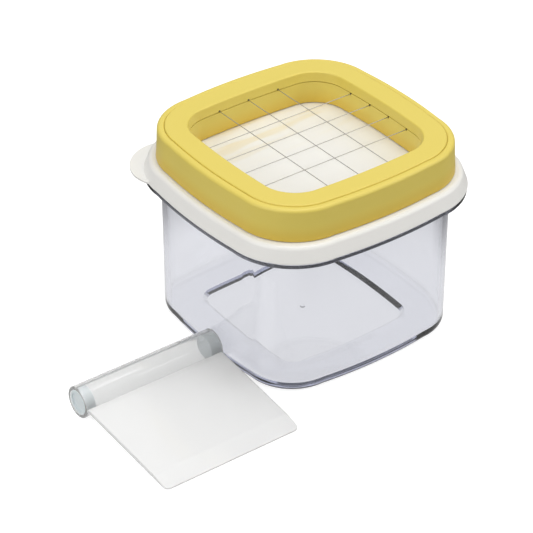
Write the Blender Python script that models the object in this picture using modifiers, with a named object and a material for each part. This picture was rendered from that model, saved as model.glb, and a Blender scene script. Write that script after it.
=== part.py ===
"""Butter cutting box: a clear container, its push-on lid, a wire cutting frame that rests on the lid, and a scraper.

Units are metres and +Z is up. The origin is the centre of the container's base, on the table.
The container's sides face along X and Y, the lid's thumb tab is at the corner towards -X and +Y,
and the scraper lies on the table beside the -X side with its handle along X.
"""

from math import asin, cos, pi, sin

import bmesh
import bpy
from mathutils import Matrix

# Clearances
SEAT_GAP = 0.0003
CUT_OVERRUN = 0.002

# How finely round shapes are divided
CORNER_STEPS = 8
SIDE_STEPS = 4
ROUNDING_STEPS = 4
FILLET_STEPS = 3
TUBE_SIDES = 32
WIRE_RESOLUTION = 2
STOP_SIDES = 12

# Container: its width is across the flats of the base, at the middle of the bulging sides
CONTAINER_WIDTH = 0.0980
CONTAINER_DRAFT = 0.0002
CONTAINER_CORNER = 0.0210
CONTAINER_BOW = 0.0017
CONTAINER_WALL = 0.0020
CONTAINER_FLOOR = 0.0020
BASE_ROUNDING = 0.0030
FLOOR_FILLET = 0.0010
PANEL_DEPTH = 0.0014
PANEL_SLOPE_RUN = 0.0020
PANEL_WIDTH = 0.0615
PANEL_CORNER = 0.0060
PANEL_BOW = 0.0010
MOUTH_EDGE = 0.0005
NECK_HEIGHT = 0.0050
FLANGE_TOP = 0.0653
FLANGE_THICKNESS = 0.0017
FLANGE_REACH = 0.0071
FLANGE_CORNER = 0.0294
FLANGE_BOW = 0.0015
FLANGE_FILLET = 0.0008
GATE_MARK_RADIUS = 0.0011
GATE_MARK_HEIGHT = 0.0003
GATE_MARK_SIDES = 10

# Lid: its rim overhangs the container's flange, and its side slopes out to its foot
LID_OVERHANG = 0.0004
LID_CORNER = 0.0298
LID_BOW = 0.0015
LID_SIDE_SLOPE = 0.0017
LID_WEB = 0.0018
LID_RIM_ROUNDING = 0.0032
LID_FOOT_CHAMFER = 0.0004
LID_SKIRT_WALL = 0.0017
LID_PLUG_DEPTH = 0.0100
LID_PLUG_WALL = 0.0014
LID_PLUG_CHAMFER = 0.0004
RIB_HEIGHT = 0.0015
RIB_WALL = 0.0015
TAB_REACH = 0.0056
TAB_HALF_WIDTH = 0.0165
TAB_HALF_LENGTH = 0.0140
TAB_THICKNESS = 0.0009
TAB_LIFT = 0.0002
TAB_BITE = 0.0008
TAB_SIDES = 48

# Cutter frame: its skirt stands just inside the lid's rounded rim, and the drops are below its top face
FRAME_MARGIN = 0.00015
FRAME_RIM_WIDTH = 0.01375
FRAME_CORNER = 0.02585
FRAME_BOW = 0.00144
FRAME_WAIST_INSET = 0.00045
FRAME_WAIST_HEIGHT = 0.0064
SHOULDER_INSET = 0.00075
SHOULDER_DROP = 0.0004
SHOULDER_RISE = 0.0030
SHOULDER_WIDTH = 0.0030
FRAME_HEIGHT = 0.0142
FRAME_WALL = 0.0020
OPENING_CORNER = 0.0145
OPENING_BOW = 0.00076
OPENING_FLARE = 0.0005
OPENING_EDGE = 0.0005
WIRE_DROP = 0.0044
DECK_THICKNESS = 0.0024
COVER_PLATE = 0.0018
COVER_WALL = 0.0017
COVER_EDGE = 0.0004
PEG_RADIUS = 0.0016
PEG_LENGTH = 0.0036
PEG_SIDES = 16

# Cutting wires and the crimped stops on their ends
WIRE_RADIUS = 0.00025
DEPTH_WIRE_PITCH = 0.01484
DEPTH_WIRE_COUNT = 3
CROSS_WIRE_PITCH = 0.01195
CROSS_WIRE_COUNT = 4
STOP_LENGTH = 0.0034
STOP_WALL = 0.0004
WIRE_END_INSET = 0.0004

# Scraper
HANDLE_RADIUS = 0.0067
HANDLE_LENGTH = 0.0656
HANDLE_WALL = 0.0014
HANDLE_EDGE = 0.0003
END_PLUG_LENGTH = 0.0065
END_PLUG_RECESS = 0.0006
END_PLUG_RIM = 0.0012
BLADE_ROOT_INSET = 0.0005
BLADE_FLARE = -0.0006
BLADE_REACH = 0.0590
BLADE_THICKNESS = 0.0018
BLADE_EDGE_THICKNESS = 0.0006
BLADE_BEVEL_LENGTH = 0.0085
BLADE_CORNER = 0.0026
BLADE_CORNER_STEPS = 4
BLADE_SLOT_DEPTH = 0.0008
SCRAPER_STANDOFF = 0.0008
SCRAPER_FORWARD = 0.0052

# Widths that follow from the sizes above, from the container up to the frame's opening
CONTAINER_MOUTH_WIDTH = CONTAINER_WIDTH + 2 * CONTAINER_DRAFT
LID_WIDTH = CONTAINER_MOUTH_WIDTH + 2 * (FLANGE_REACH + LID_OVERHANG)
FRAME_WIDTH = LID_WIDTH - 2 * (LID_SIDE_SLOPE + LID_RIM_ROUNDING + FRAME_MARGIN)
OPENING_WIDTH = FRAME_WIDTH - 2 * FRAME_RIM_WIDTH
BLADE_ROOT_WIDTH = HANDLE_LENGTH - 2 * BLADE_ROOT_INSET
BLADE_FRONT_WIDTH = BLADE_ROOT_WIDTH + 2 * BLADE_FLARE

# Heights that follow from the sizes above: those of the shoulder and the wires are above the frame's underside
CONTAINER_HEIGHT = FLANGE_TOP + NECK_HEIGHT
LID_SEAT = FLANGE_TOP + SEAT_GAP
LID_WEB_UNDERSIDE = NECK_HEIGHT
LID_HEIGHT = LID_WEB_UNDERSIDE + LID_WEB
FRAME_SEAT = LID_SEAT + LID_HEIGHT + SEAT_GAP
SHOULDER_HEIGHT = FRAME_HEIGHT - SHOULDER_DROP
SHOULDER_START = SHOULDER_HEIGHT - SHOULDER_RISE
WIRE_LEVEL = FRAME_HEIGHT - WIRE_DROP
DECK_TOP = WIRE_LEVEL - SEAT_GAP / 2
COVER_SEAT = WIRE_LEVEL + SEAT_GAP / 2
CROSS_WIRE_HEIGHT = DECK_TOP - WIRE_RADIUS
DEPTH_WIRE_HEIGHT = COVER_SEAT + WIRE_RADIUS
WIRE_BORE_RADIUS = WIRE_RADIUS + SEAT_GAP
STOP_RADIUS = WIRE_BORE_RADIUS + STOP_WALL

# Half widths that follow from the sizes above
FRAME_HALF = FRAME_WIDTH / 2
OPENING_HALF = OPENING_WIDTH / 2
SHOULDER_HALF = FRAME_HALF - SHOULDER_INSET
SEAM_HALF = SHOULDER_HALF - SHOULDER_WIDTH
COVER_HALF = SEAM_HALF - SEAT_GAP
INNER_WALL_HALF = OPENING_HALF + FRAME_WALL
COVER_CHANNEL_HALF = COVER_HALF - COVER_WALL
STOP_START = INNER_WALL_HALF + SEAT_GAP
STOP_END = STOP_START + STOP_LENGTH
WIRE_HALF_LENGTH = STOP_END - WIRE_END_INSET

# Colours as Blender's linear values
CLEAR_RESIN = (0.80, 0.83, 0.88)
LID_WHITE = (0.86, 0.84, 0.79)
BUTTER_YELLOW = (0.79, 0.62, 0.15)
STAINLESS = (0.60, 0.60, 0.58)
FROSTED = (0.88, 0.89, 0.88)
PALE_BLUE = (0.66, 0.76, 0.80)


def clear_scene():
    """Removes whatever the opened scene holds."""
    for old in list(bpy.data.objects):
        bpy.data.objects.remove(old, do_unlink=True)


def new_collection(name):
    """A collection under the scene's own."""
    collection = bpy.data.collections.new(name)
    bpy.context.scene.collection.children.link(collection)
    return collection


def make_material(name, colour, roughness, metallic=0.0):
    """A Principled material of one colour."""
    material = bpy.data.materials.new(name)
    material.use_nodes = True
    shader = material.node_tree.nodes["Principled BSDF"]
    shader.inputs["Base Color"].default_value = (*colour, 1.0)
    shader.inputs["Roughness"].default_value = roughness
    shader.inputs["Metallic"].default_value = metallic
    return material


def finish_object(name, mesh, material, collection, parent=None):
    """Wraps a mesh in a named object with its material, shaded smooth up to sharp edges."""
    mesh.name = name
    if material:
        mesh.materials.append(material)
    mesh.shade_smooth()
    mesh.set_sharp_from_angle(angle=pi / 6)
    made = bpy.data.objects.new(name, mesh)
    collection.objects.link(made)
    made.parent = parent
    return made


def mesh_from(bm, name):
    """Turns a bmesh into a mesh with its faces pointing out."""
    bmesh.ops.recalc_face_normals(bm, faces=bm.faces)
    mesh = bpy.data.meshes.new(name)
    bm.to_mesh(mesh)
    bm.free()
    return mesh


def blend(start, end, share):
    """The value at this share of the way from start to end."""
    return start + (end - start) * share


def rounded_square(half, corner, bow):
    """Points of a square with round corners and sides that bulge by bow, anticlockwise from above."""
    centre = half - bow - corner
    quarter = []
    for step in range(CORNER_STEPS + 1):
        angle = pi / 2 * step / CORNER_STEPS
        quarter.append((centre + corner * cos(angle), centre + corner * sin(angle)))
    for step in range(1, SIDE_STEPS):
        share = 1 - 2 * step / SIDE_STEPS
        quarter.append((centre * share, half - bow * share**2))
    points = []
    for turn in range(4):
        for x, y in quarter:
            for _ in range(turn):
                x, y = -y, x
            points.append((x, y))
    return points


def loft(name, sections, closed):
    """A mesh through rounded squares of unlike width and corner.

    Each section is (half width, corner radius, bow, height). A closed loft joins the last section
    to the first and makes a ring; an open one has a flat cap at each end.
    """
    bm = bmesh.new()
    loops = []
    for half, corner, bow, height in sections:
        loops.append([bm.verts.new((x, y, height)) for x, y in rounded_square(half, corner, bow)])
    followers = loops[1:]
    if closed:
        followers = followers + loops[:1]
    else:
        bm.faces.new(loops[0])
        bm.faces.new(loops[-1])
    for loop, follower in zip(loops, followers):
        for here in range(len(loop)):
            after = (here + 1) % len(loop)
            bm.faces.new((loop[here], loop[after], follower[after], follower[here]))
    return mesh_from(bm, name)


def cylinder_mesh(name, radius, length, sides):
    """An upright cylinder centred on its origin."""
    bm = bmesh.new()
    bmesh.ops.create_cone(
        bm, cap_ends=True, segments=sides, radius1=radius, radius2=radius, depth=length
    )
    return mesh_from(bm, name)


def box_mesh(name, width, depth, height):
    """A box centred on its origin."""
    bm = bmesh.new()
    bmesh.ops.create_cube(bm, size=1, matrix=Matrix.Diagonal((width, depth, height, 1)))
    return mesh_from(bm, name)


def add_cutter(name, mesh, parent=None):
    """An object that only shapes others, kept out of the model."""
    cutter = finish_object(name, mesh, None, cutters, parent)
    cutter.hide_render = True
    cutter.display_type = "WIRE"
    return cutter


def add_boolean(target, tool, operation):
    """Cuts or joins with one object."""
    modifier = target.modifiers.new(tool.name, "BOOLEAN")
    modifier.operation = operation
    modifier.solver = "EXACT"
    modifier.object = tool


def turned(name, profile, sides, material, parent, closed):
    """A Screw of a profile of (radius, height) points, which runs down its outer side."""
    bm = bmesh.new()
    verts = [bm.verts.new((radius, 0, height)) for radius, height in profile]
    for first, second in zip(verts, verts[1:]):
        bm.edges.new((first, second))
    if closed:
        bm.edges.new((verts[-1], verts[0]))
    mesh = bpy.data.meshes.new(name)
    bm.to_mesh(mesh)
    bm.free()
    mesh.materials.append(material)
    made = bpy.data.objects.new(name, mesh)
    parts.objects.link(made)
    made.parent = parent
    screw = made.modifiers.new("turn", "SCREW")
    screw.steps = sides
    screw.render_steps = sides
    screw.use_merge_vertices = True
    screw.merge_threshold = 0.00001
    screw.use_smooth_shade = True
    return made


def frame_outline(half):
    """Corner radius and bow of the cutter frame at a half width, between its opening and its skirt."""
    share = (half - OPENING_HALF) / (FRAME_HALF - OPENING_HALF)
    return blend(OPENING_CORNER, FRAME_CORNER, share), blend(OPENING_BOW, FRAME_BOW, share)


def frame_section(half, height):
    """A loft section of the cutter frame."""
    corner, bow = frame_outline(half)
    return (half, corner, bow, height)


def container_section(height, inset):
    """A loft section of the container's wall, inset from its outer face."""
    half = blend(CONTAINER_WIDTH, CONTAINER_MOUTH_WIDTH, height / CONTAINER_HEIGHT) / 2 - inset
    return (half, CONTAINER_CORNER - inset, CONTAINER_BOW, height)


def container_sections():
    """From under the base, up the outside over the flange to the mouth, and down the inside to the floor."""
    sections = []
    for step in range(ROUNDING_STEPS + 1):
        angle = pi / 2 * step / ROUNDING_STEPS
        height = BASE_ROUNDING * (1 - cos(angle))
        sections.append(container_section(height, BASE_ROUNDING * (1 - sin(angle))))

    flange_bottom = FLANGE_TOP - FLANGE_THICKNESS
    flange_half = container_section(FLANGE_TOP, 0)[0] + FLANGE_REACH
    sections.append(container_section(flange_bottom - FLANGE_FILLET, 0))
    sections.append(container_section(flange_bottom, -FLANGE_FILLET))
    sections.append((flange_half, FLANGE_CORNER, FLANGE_BOW, flange_bottom))
    sections.append((flange_half, FLANGE_CORNER, FLANGE_BOW, FLANGE_TOP))
    sections.append(container_section(FLANGE_TOP, 0))
    sections.append(container_section(CONTAINER_HEIGHT - MOUTH_EDGE, 0))
    sections.append(container_section(CONTAINER_HEIGHT, MOUTH_EDGE))
    sections.append(container_section(CONTAINER_HEIGHT, CONTAINER_WALL - MOUTH_EDGE))
    sections.append(container_section(CONTAINER_HEIGHT - MOUTH_EDGE, CONTAINER_WALL))

    ledge_height = CONTAINER_FLOOR + PANEL_DEPTH
    for step in range(FILLET_STEPS + 1):
        angle = pi / 2 * step / FILLET_STEPS
        height = ledge_height + FLOOR_FILLET * (1 - sin(angle))
        sections.append(container_section(height, CONTAINER_WALL + FLOOR_FILLET * (1 - cos(angle))))
    panel_half = PANEL_WIDTH / 2
    slope_corner = PANEL_CORNER + PANEL_SLOPE_RUN
    sections.append((panel_half + PANEL_SLOPE_RUN, slope_corner, PANEL_BOW, ledge_height))
    sections.append((panel_half, PANEL_CORNER, PANEL_BOW, CONTAINER_FLOOR))
    return sections


def build_container():
    """The clear container, with the small round mark that its moulding gate leaves on the floor."""
    material = make_material("clear_resin", CLEAR_RESIN, 0.05)
    mesh = loft("container", container_sections(), closed=False)
    container = finish_object("container", mesh, material, parts)

    mark_depth = GATE_MARK_HEIGHT + CONTAINER_FLOOR / 2
    mark = add_cutter("gate_mark", cylinder_mesh("gate_mark", GATE_MARK_RADIUS, mark_depth, GATE_MARK_SIDES))
    mark.location.z = CONTAINER_FLOOR + GATE_MARK_HEIGHT - mark_depth / 2
    add_boolean(container, mark, "UNION")
    return container


def lid_section(inset, height):
    """A loft section of the lid's outer rim, inset from its widest outline."""
    return (LID_WIDTH / 2 - inset, LID_CORNER - inset, LID_BOW, height)


def plug_section(inset, height):
    """A loft section of the lid's plug, which fits the container's mouth."""
    half, corner, bow, _ = container_section(LID_SEAT + height - LID_PLUG_DEPTH, CONTAINER_WALL + SEAT_GAP)
    return (half - inset, corner - inset, bow, height)


def lid_sections():
    """From inside the rib on top, over the rim, under the skirt and round the plug to the web's underside."""
    rib_half = FRAME_HALF - FRAME_WALL - SEAT_GAP
    rib_outer = frame_section(rib_half, LID_HEIGHT)
    rib_inner = frame_section(rib_half - RIB_WALL, LID_HEIGHT)
    rib_top = LID_HEIGHT + RIB_HEIGHT
    sections = [rib_inner, (*rib_inner[:3], rib_top), (*rib_outer[:3], rib_top), rib_outer]

    for step in range(ROUNDING_STEPS + 1):
        angle = pi / 2 * step / ROUNDING_STEPS
        inset = LID_SIDE_SLOPE + LID_RIM_ROUNDING * (1 - sin(angle))
        sections.append(lid_section(inset, LID_HEIGHT - LID_RIM_ROUNDING * (1 - cos(angle))))
    sections.append(lid_section(0, LID_FOOT_CHAMFER))
    sections.append(lid_section(LID_FOOT_CHAMFER, 0))
    sections.append(lid_section(LID_SKIRT_WALL, 0))
    sections.append(lid_section(LID_SKIRT_WALL + LID_SIDE_SLOPE, LID_WEB_UNDERSIDE))

    plug_foot = LID_WEB_UNDERSIDE - LID_PLUG_DEPTH
    sections.append(plug_section(0, LID_WEB_UNDERSIDE))
    sections.append(plug_section(0, plug_foot + LID_PLUG_CHAMFER))
    sections.append(plug_section(LID_PLUG_CHAMFER, plug_foot))
    sections.append(plug_section(LID_PLUG_WALL, plug_foot))
    sections.append(plug_section(LID_PLUG_WALL, LID_WEB_UNDERSIDE))
    return sections


def build_lid():
    """The white lid with its thumb tab at one corner."""
    material = make_material("lid_white", LID_WHITE, 0.35)
    mesh = loft("lid", lid_sections(), closed=False)
    lid = finish_object("lid", mesh, material, parts)
    lid.location.z = LID_SEAT

    corner_centre = LID_WIDTH / 2 - LID_BOW - LID_CORNER
    corner_tip = corner_centre + LID_CORNER * cos(pi / 4)
    tab = add_cutter("tab", cylinder_mesh("tab", 1, 1, TAB_SIDES), lid)
    tab.data.transform(Matrix.Diagonal((TAB_HALF_LENGTH, TAB_HALF_WIDTH, TAB_THICKNESS, 1)))
    tab.rotation_euler.z = 3 * pi / 4
    shift = (TAB_HALF_LENGTH - TAB_REACH) * cos(pi / 4)
    tab.location = (-corner_tip + shift, corner_tip - shift, TAB_LIFT + TAB_THICKNESS / 2)

    core_sections = [lid_section(TAB_BITE, -CUT_OVERRUN), lid_section(TAB_BITE, CUT_OVERRUN)]
    core = add_cutter("tab_core", loft("tab_core", core_sections, closed=False), lid)
    add_boolean(tab, core, "DIFFERENCE")
    add_boolean(lid, tab, "UNION")
    return lid


def frame_body_sections():
    """Round the ring: skirt, shoulder, deck under the wires, lower inner wall and the hollow between."""
    sections = [
        frame_section(FRAME_HALF, 0),
        frame_section(FRAME_HALF - FRAME_WAIST_INSET, FRAME_WAIST_HEIGHT),
    ]
    for step in range(ROUNDING_STEPS + 1):
        angle = pi / 2 * step / ROUNDING_STEPS
        half = SHOULDER_HALF - SHOULDER_WIDTH * (1 - cos(angle))
        sections.append(frame_section(half, blend(SHOULDER_START, SHOULDER_HEIGHT, sin(angle))))
    deck_underside = DECK_TOP - DECK_THICKNESS
    sections.append(frame_section(SEAM_HALF, DECK_TOP))
    sections.append(frame_section(OPENING_HALF, DECK_TOP))
    sections.append(frame_section(OPENING_HALF, 0))
    sections.append(frame_section(INNER_WALL_HALF, 0))
    sections.append(frame_section(INNER_WALL_HALF, deck_underside))
    sections.append(frame_section(SHOULDER_HALF - FRAME_WALL, deck_underside))
    sections.append(frame_section(FRAME_HALF - FRAME_WALL, 0))
    return sections


def frame_cover_sections():
    """Round the ring: outer wall in the seam, flat top face, flared opening, and the channel over the deck."""
    channel_top = FRAME_HEIGHT - COVER_PLATE
    flare_half = OPENING_HALF + OPENING_FLARE
    return [
        frame_section(COVER_HALF, COVER_SEAT),
        frame_section(COVER_HALF, FRAME_HEIGHT - COVER_EDGE),
        frame_section(COVER_HALF - COVER_EDGE, FRAME_HEIGHT),
        frame_section(flare_half + OPENING_EDGE, FRAME_HEIGHT),
        frame_section(flare_half, FRAME_HEIGHT - OPENING_EDGE),
        frame_section(OPENING_HALF, COVER_SEAT),
        frame_section(INNER_WALL_HALF, COVER_SEAT),
        frame_section(INNER_WALL_HALF + OPENING_FLARE, channel_top),
        frame_section(COVER_CHANNEL_HALF, channel_top),
        frame_section(COVER_CHANNEL_HALF, COVER_SEAT),
    ]


def wire_offsets(count, pitch):
    """Places of evenly pitched wires about the middle."""
    return [(number - (count - 1) / 2) * pitch for number in range(count)]


def cut_wire_bores(target, label, offsets, height, along_x):
    """Cuts a bore for each wire through the inner wall on both sides."""
    for number, offset in enumerate(offsets, start=1):
        name = f"{label}_{number}_bore"
        bore = add_cutter(name, cylinder_mesh(name, WIRE_BORE_RADIUS, 2 * STOP_START, STOP_SIDES), cutter)
        bore.rotation_euler = (0, pi / 2, 0) if along_x else (pi / 2, 0, 0)
        bore.location = (0, offset, height) if along_x else (offset, 0, height)
        add_boolean(target, bore, "DIFFERENCE")


def cut_stop_pockets(target, label, offsets, height, along_x):
    """Cuts a pocket in the deck for the stop at each end of each wire."""
    pocket_length = STOP_LENGTH + 2 * SEAT_GAP
    pocket_width = 2 * (STOP_RADIUS + SEAT_GAP)
    pocket_floor = height - STOP_RADIUS - SEAT_GAP
    pocket_height = DECK_TOP - pocket_floor + CUT_OVERRUN
    middle = INNER_WALL_HALF + pocket_length / 2
    for number, offset in enumerate(offsets, start=1):
        for end in (-1, 1):
            name = f"{label}_{number}_pocket_{'low' if end < 0 else 'high'}"
            if along_x:
                mesh = box_mesh(name, pocket_length, pocket_width, pocket_height)
                place = (end * middle, offset, pocket_floor + pocket_height / 2)
            else:
                mesh = box_mesh(name, pocket_width, pocket_length, pocket_height)
                place = (offset, end * middle, pocket_floor + pocket_height / 2)
            pocket = add_cutter(name, mesh, cutter)
            pocket.location = place
            add_boolean(target, pocket, "DIFFERENCE")


def peg_places():
    """The middle of the cover's channel at its four corners."""
    half = (INNER_WALL_HALF + COVER_CHANNEL_HALF) / 2
    corner, bow = frame_outline(half)
    place = half - bow - corner + corner * cos(pi / 4)
    return [(x * place, y * place) for x in (-1, 1) for y in (-1, 1)]


def build_frame_body():
    """The yellow outer moulding of the cutter: the wires lie on its deck."""
    mesh = loft("frame_body", frame_body_sections(), closed=True)
    body = finish_object("frame_body", mesh, butter_yellow, parts, cutter)
    cross = wire_offsets(CROSS_WIRE_COUNT, CROSS_WIRE_PITCH)
    depth = wire_offsets(DEPTH_WIRE_COUNT, DEPTH_WIRE_PITCH)
    cut_wire_bores(body, "cross_wire", cross, CROSS_WIRE_HEIGHT, along_x=True)
    cut_stop_pockets(body, "cross_wire", cross, CROSS_WIRE_HEIGHT, along_x=True)
    cut_stop_pockets(body, "depth_wire", depth, DEPTH_WIRE_HEIGHT, along_x=False)
    for number, (x, y) in enumerate(peg_places(), start=1):
        name = f"peg_hole_{number}"
        length = DECK_THICKNESS + 2 * CUT_OVERRUN
        hole = add_cutter(name, cylinder_mesh(name, PEG_RADIUS + SEAT_GAP, length, PEG_SIDES), cutter)
        hole.location = (x, y, DECK_TOP - DECK_THICKNESS / 2)
        add_boolean(body, hole, "DIFFERENCE")
    return body


def build_frame_cover():
    """The yellow ring with the flat top face, which clamps the wires and plugs into the deck with four pegs."""
    mesh = loft("frame_cover", frame_cover_sections(), closed=True)
    cover = finish_object("frame_cover", mesh, butter_yellow, parts, cutter)
    depth = wire_offsets(DEPTH_WIRE_COUNT, DEPTH_WIRE_PITCH)
    cut_wire_bores(cover, "depth_wire", depth, DEPTH_WIRE_HEIGHT, along_x=False)
    peg_foot = COVER_SEAT - PEG_LENGTH
    peg_top = FRAME_HEIGHT - COVER_PLATE / 2
    for number, (x, y) in enumerate(peg_places(), start=1):
        name = f"peg_{number}"
        peg = add_cutter(name, cylinder_mesh(name, PEG_RADIUS, peg_top - peg_foot, PEG_SIDES), cutter)
        peg.location = (x, y, (peg_top + peg_foot) / 2)
        add_boolean(cover, peg, "UNION")
    return cover


def build_wire(name, offset, height, along_x):
    """One straight cutting wire."""
    curve = bpy.data.curves.new(name, "CURVE")
    curve.dimensions = "3D"
    curve.bevel_depth = WIRE_RADIUS
    curve.bevel_resolution = WIRE_RESOLUTION
    curve.use_fill_caps = True
    spline = curve.splines.new("POLY")
    spline.points.add(1)
    for point, end in zip(spline.points, (-1, 1)):
        reach = end * WIRE_HALF_LENGTH
        point.co = (reach, 0, 0, 1) if along_x else (0, reach, 0, 1)
    curve.materials.append(stainless)
    wire = bpy.data.objects.new(name, curve)
    parts.objects.link(wire)
    wire.parent = cutter
    wire.location = (0, offset, height) if along_x else (offset, 0, height)
    return wire


def build_stop(name, wire_place, end, along_x):
    """A short crimped sleeve on the end of a wire."""
    profile = [
        (STOP_RADIUS, STOP_LENGTH / 2),
        (STOP_RADIUS, -STOP_LENGTH / 2),
        (WIRE_BORE_RADIUS, -STOP_LENGTH / 2),
        (WIRE_BORE_RADIUS, STOP_LENGTH / 2),
    ]
    stop = turned(name, profile, STOP_SIDES, stainless, cutter, closed=True)
    stop.rotation_euler = (0, pi / 2, 0) if along_x else (pi / 2, 0, 0)
    reach = end * (STOP_START + STOP_LENGTH / 2)
    x, y, z = wire_place
    stop.location = (reach, y, z) if along_x else (x, reach, z)
    return stop


def build_wires():
    """The grid: wires from front to back over wires from side to side, with a stop on every end."""
    for number, offset in enumerate(wire_offsets(DEPTH_WIRE_COUNT, DEPTH_WIRE_PITCH), start=1):
        wire = build_wire(f"depth_wire_{number}", offset, DEPTH_WIRE_HEIGHT, along_x=False)
        build_stop(f"{wire.name}_front_stop", wire.location, -1, along_x=False)
        build_stop(f"{wire.name}_back_stop", wire.location, 1, along_x=False)
    for number, offset in enumerate(wire_offsets(CROSS_WIRE_COUNT, CROSS_WIRE_PITCH), start=1):
        wire = build_wire(f"cross_wire_{number}", offset, CROSS_WIRE_HEIGHT, along_x=True)
        build_stop(f"{wire.name}_left_stop", wire.location, -1, along_x=True)
        build_stop(f"{wire.name}_right_stop", wire.location, 1, along_x=True)


def build_handle():
    """The scraper's tube, with a shallow slot along its front for the blade."""
    half = HANDLE_LENGTH / 2
    bore = HANDLE_RADIUS - HANDLE_WALL
    profile = [
        (HANDLE_RADIUS - HANDLE_EDGE, half),
        (HANDLE_RADIUS, half - HANDLE_EDGE),
        (HANDLE_RADIUS, -half + HANDLE_EDGE),
        (HANDLE_RADIUS - HANDLE_EDGE, -half),
        (bore, -half),
        (bore, half),
    ]
    handle = turned("scraper_handle", profile, TUBE_SIDES, frosted, scraper, closed=True)
    handle.rotation_euler.y = pi / 2

    slot_depth = BLADE_SLOT_DEPTH + CUT_OVERRUN
    slot_height = BLADE_THICKNESS + 2 * SEAT_GAP
    mesh = box_mesh("blade_slot", BLADE_ROOT_WIDTH + 2 * SEAT_GAP, slot_depth, slot_height)
    mesh.transform(Matrix.Translation((0, -HANDLE_RADIUS + BLADE_SLOT_DEPTH - slot_depth / 2, 0)))
    slot = add_cutter("blade_slot", mesh, scraper)
    slot.rotation_euler.x = BLADE_TILT
    add_boolean(handle, slot, "DIFFERENCE")
    return handle


def build_blade():
    """The scraper's blade: a plate that narrows a little to its front and is thinned to an edge there."""
    root = -HANDLE_RADIUS + BLADE_SLOT_DEPTH - SEAT_GAP
    length = root + BLADE_REACH
    bm = bmesh.new()
    bmesh.ops.create_cube(bm, size=1, matrix=Matrix.Diagonal((BLADE_ROOT_WIDTH, length, BLADE_THICKNESS, 1)))
    bmesh.ops.translate(bm, verts=bm.verts, vec=(0, root - length / 2, 0))
    front_edges = [
        edge
        for edge in bm.edges
        if all(vert.co.y < root - length / 2 for vert in edge.verts)
        and edge.verts[0].co.x * edge.verts[1].co.x > 0
    ]
    bmesh.ops.bevel(
        bm, geom=front_edges, offset=BLADE_CORNER, segments=BLADE_CORNER_STEPS, profile=0.5, affect="EDGES"
    )
    bevel_start = -BLADE_REACH + BLADE_BEVEL_LENGTH
    everything = list(bm.verts) + list(bm.edges) + list(bm.faces)
    bmesh.ops.bisect_plane(bm, geom=everything, plane_co=(0, bevel_start, 0), plane_no=(0, 1, 0))
    for vert in bm.verts:
        if vert.co.z > 0 and vert.co.y < bevel_start:
            share = (bevel_start - vert.co.y) / BLADE_BEVEL_LENGTH
            vert.co.z -= (BLADE_THICKNESS - BLADE_EDGE_THICKNESS) * share
        vert.co.x *= blend(1, BLADE_FRONT_WIDTH / BLADE_ROOT_WIDTH, (root - vert.co.y) / length)
    blade = finish_object("scraper_blade", mesh_from(bm, "scraper_blade"), frosted, parts, scraper)
    blade.rotation_euler.x = BLADE_TILT
    return blade


def build_end_plug(name, end):
    """A round plug that closes one end of the handle, with a shallow recess in its face."""
    radius = HANDLE_RADIUS - HANDLE_WALL - SEAT_GAP
    profile = [
        (0, END_PLUG_LENGTH / 2 - END_PLUG_RECESS),
        (radius - END_PLUG_RIM, END_PLUG_LENGTH / 2 - END_PLUG_RECESS),
        (radius - END_PLUG_RIM, END_PLUG_LENGTH / 2),
        (radius, END_PLUG_LENGTH / 2),
        (radius, -END_PLUG_LENGTH / 2),
        (0, -END_PLUG_LENGTH / 2),
    ]
    plug = turned(name, profile, TUBE_SIDES, pale_blue, scraper, closed=False)
    plug.rotation_euler.y = end * pi / 2
    plug.location.x = end * (HANDLE_LENGTH - END_PLUG_LENGTH) / 2
    return plug


clear_scene()
parts = new_collection("butter_cutting_box")
cutters = new_collection("cutters")

butter_yellow = make_material("butter_yellow", BUTTER_YELLOW, 0.35)
stainless = make_material("stainless_wire", STAINLESS, 0.25, 1.0)
frosted = make_material("frosted_plastic", FROSTED, 0.25)
pale_blue = make_material("pale_blue_plastic", PALE_BLUE, 0.3)

# The cutter's empty is on the line along which it lifts, at the underside of its frame
cutter = bpy.data.objects.new("cutter", None)
parts.objects.link(cutter)
cutter.location.z = FRAME_SEAT

# The scraper's empty is at the middle of its handle, which rests on the table with the blade's edge
BLADE_TILT = asin((HANDLE_RADIUS - BLADE_THICKNESS / 2) / BLADE_REACH)
scraper = bpy.data.objects.new("scraper", None)
parts.objects.link(scraper)
scraper_x = -CONTAINER_WIDTH / 2 - SCRAPER_STANDOFF - HANDLE_LENGTH / 2
scraper.location = (scraper_x, -SCRAPER_FORWARD, HANDLE_RADIUS)

build_container()
build_lid()
build_frame_body()
build_frame_cover()
build_wires()
build_handle()
build_blade()
build_end_plug("end_plug_left", -1)
build_end_plug("end_plug_right", 1)
print(f"frame underside {FRAME_SEAT * 1000:.1f} mm, top {(FRAME_SEAT + FRAME_HEIGHT) * 1000:.1f} mm above the table")
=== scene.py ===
# %% [markdown]
# # Butter cutting box
# A clear container with a white lid, a yellow frame strung with cutting wires, and a small scraper beside
# it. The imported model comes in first, because every piece here is fitted around it and moves with one of
# its bodies.

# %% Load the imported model
from math import asin, cos, pi, radians, sin, tan

import bmesh
import bpy
from mathutils import Matrix, Vector


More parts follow.
